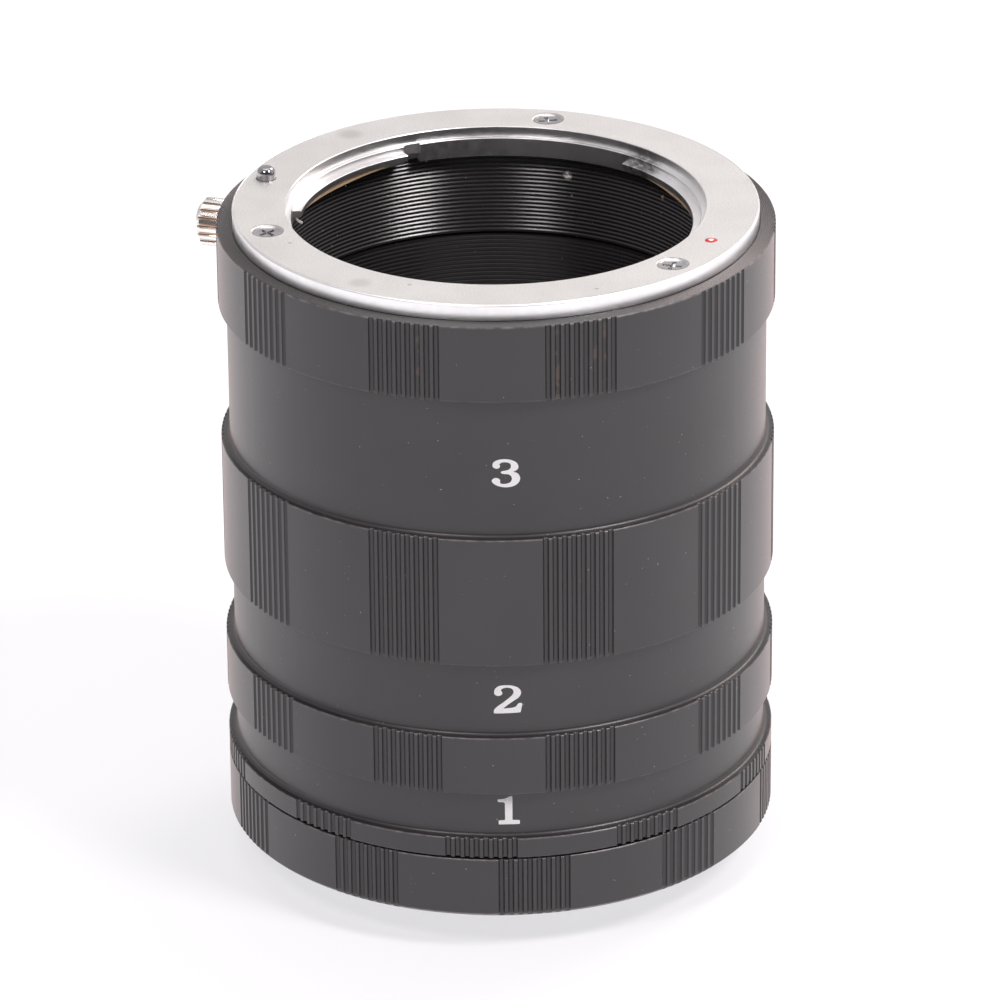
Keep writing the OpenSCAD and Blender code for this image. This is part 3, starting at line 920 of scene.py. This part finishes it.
        # radius, height and share of the lugs' reach: edges are broken by 0.04 to 0.08 mm
        wall = [
            (gate + 0.08, foot, 0.0),
            (gate, foot + 0.08, 0.0),
            (gate, lug_low, 0.0),
            (gate, lug_low, 0.93),
            (gate, lug_low + 0.06, CUT),
            (gate, lug_high - 0.06, CUT),
            (gate, lug_high, 0.93),
            (gate, lug_high, 0.0),
            (gate, self.ledge_z - 0.06, 0.0),
            (gate + 0.06, self.ledge_z, 0.0),
            (self.opening_r - 0.04, self.ledge_z, 0.0),
            (self.opening_r, self.ledge_z + 0.04, 0.0),
            (self.opening_r, z - 0.07, 0.0),
        ]
        # a fine line is scribed between the flat face and the rounded edge
        wide, deep = self.scribe
        side = [
            (out - b - wide, z), (out - b - wide * 0.4, z - deep), (out - b, z - deep / 2),
            *arc((out - b, z - b - deep / 2), b, 70, 0, 4), (out, body_top), (self.collar_of_flange_r, body_top),
            (self.collar_of_flange_r, foot),
        ]
        stations = [
            *(Station(r, h, share, skin=Skin.INSIDE) for r, h, share in wall),
            Station(self.opening_r + 0.07, z),
            *sweep(side, skin=Skin.INSIDE),
        ]
        samples = Lugs(self.lug_spans, self.lug_reach).samples()
        finishes = [self.satin, self.polished]
        flange = Turned("chromed_flange", "lens_mount", stations, samples, finishes, sharp=28).build()
        work = bmesh.new()
        for az in self.screw_az:
            hole(work, SINK, upright(az, self.screw_at, z))
        hole(work, ((self.pin_hole_r, CLEAR), (self.pin_hole_r, -THROUGH)), upright(self.lock_az, self.pin_at, z))
        snug = self.index_r + 0.02
        hole(work, ((snug, CLEAR), (snug, -self.index_deep)), upright(self.index_az, self.index_at, z))
        carve(flange, work, 28)
        first, last = self.notch
        turns = [math.radians(first + (last - first) * k / 4) for k in range(5)]
        for notch_r, bottom, top in self.notch_cuts:
            work = bmesh.new()
            rows = ((notch_r, turns), (self.gate_r - 1.3, turns[::-1]))
            outline = [(r * math.cos(t), r * math.sin(t)) for r, row in rows for t in row]
            prism(work, [[Vector((x, y, h)) * MM for x, y in outline] for h in (bottom, top)])
            carve(flange, work, 28)
        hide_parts("lens_flange")
        return flange

    def build_bead(self) -> bpy.types.Object:
        """Build the index bead: a red ring round a white dot, which is a painted highlight on the dome, both under
        gloss.

        Returns:
            The new object.
        """
        r = self.index_r
        profile = [
            (0, 0.07), (r * 0.3, 0.068), (r * 0.42, 0.063), (r * 0.46, 0.061), (r * 0.85, 0.035), (r, -0.03),
            (r, -self.index_deep), (0, -self.index_deep),
        ]
        # the first two loops bound the white dot of painted highlight
        stations = [Station(x, h, skin=Skin.INSIDE if k < 2 else Skin.OUTSIDE) for k, (x, h) in enumerate(profile)]
        place = upright(self.index_az, self.index_at, self.face_z)
        finishes = [self.red, self.highlight_white]
        bead = Turned("index_dot", "lens_mount", stations, even(40), finishes, closed=False, place=place).build()
        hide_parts("index_bead")
        return bead

    def build_tail(self) -> bpy.types.Object:
        """Build the bent end of a bayonet spring, which hangs below the flange's collar. Its white all over is a
        painted highlight on the metal.

        Returns:
            The new object.
        """
        path = [Vector(upright(az, self.tail_at, z).translation) for az, z in self.tail]
        wide, thick = self.tail_half
        turns = [math.pi / 4 * k for k in range(8)]
        work = bmesh.new()
        loops = []
        for i, point in enumerate(path):
            along = (path[min(i + 1, len(path) - 1)] - path[max(i - 1, 0)]).normalized()
            out = Vector((point.x, point.y, 0)).normalized()
            side = along.cross(out).normalized()
            loops.append([point + (side * math.cos(t) * wide + out * math.sin(t) * thick) * MM for t in turns])
        prism(work, loops)
        # white finish: a painted highlight on the spring's metal
        return place_work(work, "spring_tail", self.highlight_white, "lens_mount", 40)

    def build(self) -> list[bpy.types.Object]:
        """Build the mount's pieces and dress the nodes that it keeps.

        Returns:
            The new objects.
        """
        made = [self.build_body(), self.build_flange(), self.build_bead(), self.build_tail()]
        for i, az in enumerate(self.screw_az, 1):
            place = upright(az, self.screw_at, self.face_z)
            made.append(Screw(f"mount_screw_{i}", f"flange_screw_{i}", "lens_mount", place, self.bright).build())
            dress(f"bayonet_spring_{i}", self.bronze)
        dress("lock_spring", self.bright)
        return made


@dataclass
class LensLock:
    """The lens lock: a domed pin, the slider in its pocket and a ridged knob."""

    bright: bpy.types.Material
    brass: bpy.types.Material
    knurled: bpy.types.Material
    azimuth: float = 162.5
    pin_at: float = 24.0
    pin_r: float = 0.95
    pin_z: tuple[float, float] = (66.2, 70.2)
    knob_r: float = 2.45
    knob_z: float = 63.65
    knob_x: tuple[float, float] = (27.95, 30.95)
    knob_bevel: float = 0.5
    stem_x: float = 25.1
    stem_r: float = 0.8
    ridges: int = 18
    ridge_depth: float = 0.24
    # share of a ridge's width and share of the depth there
    ridge_form: tuple[tuple[float, float], ...] = (
        (0.0, 1.0), (0.12, 0.9), (0.22, 0.6), (0.29, 0.0), (0.5, 0.0), (0.71, 0.0), (0.78, 0.6), (0.88, 0.9),
    )

    def build(self) -> list[bpy.types.Object]:
        """Build the pin and the knob, and dress the slider.

        Returns:
            The new objects.
        """
        low, high = self.pin_z
        r = self.pin_r
        pin = [
            (0, high), (r * 0.6, high), (r * 0.66, high - 0.03), (r * 0.86, high - 0.2), (r * 0.97, high - 0.4),
            (r, high - 0.57), (r, low), (0, low),
        ]
        place = upright(self.azimuth, self.pin_at, 0)
        domed = Turned(
            "lock_pin_domed", "lens_lock", sweep(pin), even(48), [self.bright], closed=False, place=place, sharp=40,
        ).build()
        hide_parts("lock_pin")
        samples = [
            ((k + part) * 360 / self.ridges, deep * self.ridge_depth)
            for k in range(self.ridges)
            for part, deep in self.ridge_form
        ]
        start, end = self.knob_x
        r = self.knob_r
        stations = [
            *sweep([(0, self.stem_x), (self.stem_r, self.stem_x), (self.stem_r, start)]),
            *sweep([(r - 0.12, start), (r, start + 0.1), (r, end - self.knob_bevel)], CUT),
            Station(r - self.ridge_depth - 0.02, end - self.knob_bevel + self.ridge_depth),
            *sweep([(r - self.knob_bevel, end), (0, end)]),
        ]
        lie = upright(self.azimuth, 0, self.knob_z) @ Matrix.Rotation(math.radians(90), 4, "Y")
        knob = Turned(
            "ridged_knob", "lens_lock", stations, samples, [self.knurled], closed=False, place=lie, sharp=28,
        ).build()
        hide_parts("release_knob")
        dress("release_slider", self.brass)
        return [domed, knob]


@dataclass
class CameraMount:
    """The camera mount: knurled body with a socket above, and the male bayonet with its screws."""

    outer: bpy.types.Material
    inner: bpy.types.Material
    satin: bpy.types.Material
    polished: bpy.types.Material
    bright: bpy.types.Material
    knurl_az: float = 240.8
    collar_r: float = 27.7
    socket_r: float = 24.66
    bore_r: float = 21.6
    recess_r: float = 25.45
    recess_h: float = 1.5
    socket_h: float = 2.4
    foot_bevel: float = 0.3
    break_edge: float = 0.06
    barrel_r: float = 19.15
    barrel_bore_r: float = 17.8
    seat_z: float = 3.9
    plate_r: float = 25.4
    plate_top: float = 5.5
    bevel: float = 0.12
    lug_r: float = 20.1
    lug_h: float = 0.95
    lug_az: tuple[float, float, float] = (261.5, 21.5, 141.5)
    lug_span: float = 48.0
    screw_at: float = 23.4
    screw_az: tuple[float, float, float] = (60.7, 180.7, 300.7)
    lock_at: float = 24.0
    lock_az: float = 162.5
    lock_hole_r: float = 1.1

    def body_stations(self) -> list[Station]:
        """List the body's stations, from the recess up the bore and down the outside.

        Returns:
            The stations, in order.
        """
        low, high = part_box("camera_mount_body")
        foot, top, b = low.z / MM, high.z / MM, self.break_edge
        r, bore, socket, recess = self.collar_r, self.bore_r, self.socket_r, foot + self.recess_h
        floor, bevel = top - self.socket_h, self.foot_bevel
        return [
            *sweep([(bore, recess), (bore, floor), (socket, floor)], skin=Skin.INSIDE),
            Station(socket, top),
            Station(r - 3 * b, top, CUT),
            *sweep([(r - b, top), (r, top - b)], CUT, 0.55),
            *sweep([(r, top - 3 * b), (r, foot + bevel + 2 * b)], CUT),
            Station(r, foot + bevel, CUT, 0.5),
            Station(r - bevel, foot, edge=0.3),
            *sweep([(self.recess_r, foot), (self.recess_r, recess)]),
        ]

    def build_bayonet(self) -> bpy.types.Object:
        """Build the male bayonet with its lugs and holes.

        Returns:
            The new object.
        """
        bore, lug, plate, h, c = self.barrel_bore_r, self.lug_r, self.plate_r, self.lug_h, self.bevel
        stations = [
            *sweep([(bore, self.plate_top), (bore, c * 1.5), (bore + c, 0)]),
            *sweep([(lug - c, 0), (lug, c), (lug, h - c * 0.5), (lug - c * 0.5, h)], CUT),
            Station(self.barrel_r, h, skin=Skin.INSIDE),
            Station(self.barrel_r, self.seat_z),
            *sweep([(plate - c, self.seat_z), (plate, self.seat_z + c)], skin=Skin.INSIDE),
            Station(plate, self.plate_top),
        ]
        gap = 120 - self.lug_span
        ends = [(a + self.lug_span / 2) % 360 for a in self.lug_az]
        spans = tuple((end, end + gap) for end in ends)
        samples = Lugs(spans, self.lug_r - self.barrel_r).samples()
        made = Turned("male_bayonet", "camera_mount", stations, samples, [self.satin, self.polished], sharp=25).build()
        work = bmesh.new()
        flip = Matrix.Rotation(math.pi, 4, "X")
        for az in self.screw_az:
            hole(work, SINK, upright(az, self.screw_at, self.seat_z) @ flip)
        through = ((self.lock_hole_r, CLEAR), (self.lock_hole_r, -THROUGH))
        hole(work, through, upright(self.lock_az, self.lock_at, self.seat_z) @ flip)
        carve(made, work, 25)
        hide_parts("camera_bayonet")
        return made

    def build(self) -> list[bpy.types.Object]:
        """Build the body, the bayonet and the screws.

        Returns:
            The new objects.
        """
        samples = Knurl(self.knurl_az, self.collar_r).samples()
        finishes = [self.outer, self.inner]
        body = Turned("camera_mount_turned", "camera_mount", self.body_stations(), samples, finishes).build()
        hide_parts("camera_mount_body")
        made = [body, self.build_bayonet()]
        for i, az in enumerate(self.screw_az, 1):
            place = upright(az, self.screw_at, self.seat_z) @ Matrix.Rotation(math.pi, 4, "X")
            made.append(Screw(f"bayonet_fixing_{i}", f"bayonet_screw_{i}", "camera_mount", place, self.bright).build())
        return made


def dress(node: str, finish: bpy.types.Material) -> None:
    """Give a carried-over node its finish.

    Args:
        node: Name of the node.
        finish: Material all over it.
    """
    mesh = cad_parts[node].data
    mesh.materials.clear()
    mesh.materials.append(finish)


@dataclass
class Studio:
    """White sweep, soft lights and the camera of the photograph."""

    target: tuple[float, float, float] = (0.0, 0.0, 35.0)
    distance: float = 697.33
    elevation: float = 24.597
    lens: float = 248.81
    shift: tuple[float, float] = (0.00152, 0.01589)
    roll: float = -0.509
    reach: float = 6.0
    white: str = "#fdfcfe"
    dim: str = "#cecccd"
    lit: str = "#e5e3e2"
    dark: str = "#595759"
    table: str = "#a2a2a4"
    # name, direction, elevation, width in metres, power in watts and colour
    lamps: tuple[tuple[str, float, float, float, float, str], ...] = (
        ("key", 325.0, 50.0, 0.28, 5.8, "#fff9fa"),
        ("fill", 242.0, 50.0, 0.26, 2.8, "#fff9fa"),
        ("top", 90.0, 72.0, 0.8, 3.2, "#fffdfb"),
        ("rim", 48.0, 40.0, 0.5, 3.6, "#fff4f0"),
    )

    def camera(self) -> None:
        """Set up the camera at the photograph's place."""
        data = bpy.data.cameras.new("view")
        data.lens, data.sensor_width = self.lens, 36.0
        data.shift_x, data.shift_y = self.shift
        data.clip_start, data.clip_end = 0.01, 20.0
        made = bpy.data.objects.new("view", data)
        bpy.context.scene.collection.objects.link(made)
        up = math.radians(self.elevation)
        back = Vector((0, -math.cos(up), math.sin(up))) * self.distance
        tip = Matrix.Rotation(math.radians(90 - self.elevation), 4, "X")
        roll = Matrix.Rotation(math.radians(self.roll), 4, "Z")
        made.matrix_world = Matrix.Translation((Vector(self.target) + back) * MM) @ tip @ roll
        bpy.context.scene.camera = made

    def world(self) -> None:
        """Fill the world: white to the camera, soft to plain surfaces, and a darker back wall to gloss."""
        world = bpy.data.worlds.new("sweep")
        bpy.context.scene.world = world
        world.use_nodes = True
        tree = world.node_tree
        tree.nodes.clear()
        path = add(tree, "LightPath").node.outputs
        way = add(tree, "SeparateXYZ", {0: add(tree, "TexCoord", out="Generated")}).node.outputs
        soft = add(tree, "Background", {"Color": linear("#f4f4f8"), "Strength": 0.5})
        # the sweep is white but for the dark room behind the camera, from the table's edge nearly to the top
        front, top, table, side = (
            add(tree, "MapRange", {0: way[axis], 1: low, 2: high, 3: first, 4: last})
            for axis, low, high, first, last in (
                (1, -0.5, -0.1, 1.0, 0.0), (2, 0.85, 0.98, 1.0, 0.0),
                (2, -0.02, 0.06, 0.0, 1.0), (0, -0.6, 0.6, 0.0, 1.0),
            )
        )
        band = add(tree, "Math", {0: top, 1: table}, operation="MULTIPLY")
        dark = add(tree, "Math", {0: front, 1: band}, operation="MULTIPLY")
        room = add(tree, "Mix", {0: side, 6: linear(self.dim), 7: linear(self.lit)}, 2, data_type="RGBA")
        room = add(tree, "Mix", {0: dark, 6: room, 7: linear(self.dark)}, 2, data_type="RGBA")
        gloss = add(tree, "Background", {"Color": room, "Strength": 1.0})
        seen = add(tree, "Background", {"Color": linear(self.white), "Strength": 1.0})
        shiny = add(tree, "Math", {0: path["Is Glossy Ray"], 1: path["Is Transmission Ray"]}, operation="MAXIMUM")
        first = add(tree, "MixShader", {0: shiny, 1: soft, 2: gloss})
        last = add(tree, "MixShader", {0: path["Is Camera Ray"], 1: first, 2: seen})
        add(tree, "OutputWorld", {0: last})

    def floor(self) -> None:
        """Lay the pale table, which glows a little to the camera and keeps the shadow."""
        material, tree = new_tree("table")
        path = add(tree, "LightPath").node.outputs
        # gloss sees the lit table a little brighter than the camera does
        camera, shine = (
            add(tree, "Math", {0: path[ray], 1: share}, operation="MULTIPLY")
            for ray, share in (("Is Camera Ray", 0.6), ("Is Glossy Ray", 0.85))
        )
        seen = add(tree, "Math", {0: camera, 1: shine}, operation="ADD")
        plain = add(tree, "BsdfDiffuse", {"Color": linear(self.table)})
        glow = add(tree, "Emission", {"Color": linear(self.white), "Strength": seen})
        add(tree, "OutputMaterial", {0: add(tree, "AddShader", {0: plain, 1: glow})})
        mesh = bpy.data.meshes.new("table")
        corners = [(x * self.reach, y * self.reach, 0) for x, y in ((-1, -1), (1, -1), (1, 1), (-1, 1))]
        mesh.from_pydata(corners, [], [(0, 1, 2, 3)])
        mesh.materials.append(material)
        made = bpy.data.objects.new("table", mesh)
        made.location.z = -0.02 * MM
        bpy.context.scene.collection.objects.link(made)

    def lights(self) -> None:
        """Hang the soft lamps a metre away, each facing the tube."""
        for name, azimuth, height, size, power, colour in self.lamps:
            data = bpy.data.lights.new(name, "AREA")
            data.shape, data.size, data.energy = "DISK", size, power
            data.color = linear(colour)[:3]
            made = bpy.data.objects.new(name, data)
            turn, up = math.radians(azimuth), math.radians(height)
            way = Vector((math.cos(turn) * math.cos(up), math.sin(turn) * math.cos(up), math.sin(up)))
            made.location = Vector(self.target) * MM + way
            made.rotation_euler = (-way).to_track_quat("-Z", "Y").to_euler()
            bpy.context.scene.collection.objects.link(made)

    def build(self) -> None:
        """Build the whole setting."""
        self.world()
        self.floor()
        self.lights()
        self.camera()
        bpy.context.scene.view_settings.view_transform = "Standard"


class Assembly(Protocol):
    """A sub-assembly, which builds its own pieces."""

    def build(self) -> list[bpy.types.Object]:
        """Build the pieces."""


def main() -> None:
    """Build the tube set and its setting, and report each piece."""
    logging.basicConfig(level=logging.INFO, format="%(message)s")
    # anodised on a blasted and turned surface: soft charcoal, which greys at grazing angles
    outer = BlackAnodised().build()
    # direction, radius, height and size of each mark on the tube's wall, and its colour: the first two are painted
    # glints, of a screw tip showing through and of a bronze spring's edge; the rest are bare or dusty nicks
    nicks_and_glints = (
        (70.2, 21.65, 63.7, 0.55, "#e6dfd8"), (38.8, 21.65, 63.94, 0.28, "#e0a987"),
        (134.5, 21.65, 64.8, 0.13, "#d8d2ce"), (109.0, 21.65, 65.4, 0.12, "#d8d2ce"),
        (69.0, 21.65, 61.6, 0.14, "#cfc6c0"), (30.0, 21.65, 62.2, 0.1, "#b9b2ae"),
    )
    # the bore isn't blasted, so its turned ridges shine in thin lines
    inner = BlackAnodised(
        "black_anodised_bore", "#252324", "#2c292a", roughness=0.22, sheen=0.0, seal=0.0, nicks_and_glints=nicks_and_glints,
    ).build()
    # direction, radius, height, size and strength of each smudge and rubbed place
    marks = (
        (127.8, 24.0, 69.0, 1.6, 0.3), (236.9, 24.0, 69.0, 1.4, 0.25), (293.5, 24.1, 69.0, 0.3, 0.5),
        (206.1, 22.4, 69.0, 0.3, 0.5), (248.0, 22.3, 69.0, 0.3, 0.5),
    )
    # a dark patch on the right lug's top, from about 34 to 49 degrees round: painted shade
    lug_end_shade = ((43.0, 19.9, 67.2, 2.9, 0.7),)
    # chrome over a blasted face: milky, with a fine grain
    satin = Chrome("satin_chrome", "#dfdedd", "#d6d4d3", 0.5, 0.15, 0.3, marks, speckle=0.3).build()
    # chrome over turned edges: brighter, with soft streaks of the lamps
    polished = Chrome("brushed_chrome_edge", "#f6f5f6", "#eae8e8", 0.34, 0.6, 0.02, lug_end_shade, smudge_and_shade="#4a4644").build()
    # nickel and chrome over polished steel: small parts that mirror the room
    bright = Chrome("bright_chrome", "#c2c0c1", "#a9a6a7", 0.22, 0.2, 0.1).build()
    knurled = Chrome("bright_chrome_knob", "#f0eeec", "#dcd8d5", 0.24, 0.2, 0.1, tarnish="#b08058").build()
    steel = Chrome("polished_steel_pin", "#b4b2b4", "#98969a", 0.1, 0.2, 0.05).build()
    # rolled bronze strip under a dull oxide film, and milled brass: warm, with a soft shine
    bronze = Chrome("phosphor_bronze", "#fbdcb6", "#e2bc92", 0.42, 0.2, 0.1, metal=0.4).build()
    brass = Chrome("slider_brass", "#c8ab72", "#a98c58", 0.3, 0.2, 0.1).build()
    # enamel drops set under gloss, a glossy white that paints highlights on the bead and on the spring's end, and
    # chalky paint rubbed into the digits
    red = Enamel("red_enamel", "#c0101f", "#a00c1a", 0.12).build()
    highlight_white = Enamel("painted_highlight_white", "#f4eeec", "#e6dedb", 0.12).build()
    white = Enamel("white_filling", "#f6f4f4", "#f0eeee", 0.6).build()
    # number, height of the collar, direction of a knurled group, height of the digit and its width and height
    rings = (
        (1, 2.1, 265.9, 15.38, (2.2, 3.1)),
        (2, 6.15, 250.6, 27.56, (2.8, 3.05)),
        (3, 13.5, 250.3, 51.8, (2.75, 2.96)),
    )
    assemblies: Sequence[Assembly] = [
        *(TubeRing(n, h, az, Numeral(n, z, size, white), outer, inner) for n, h, az, z, size in rings),
        LensMount(outer, inner, satin, polished, bright, bronze, red, highlight_white),
        LensLock(steel, brass, knurled),
        CameraMount(outer, inner, satin, polished, bright),
    ]
    for assembly in assemblies:
        for piece in assembly.build():
            log.info("%s: %d faces", piece.name, len(piece.data.polygons))
    Studio().build()


if __name__ == "__main__":
    main()
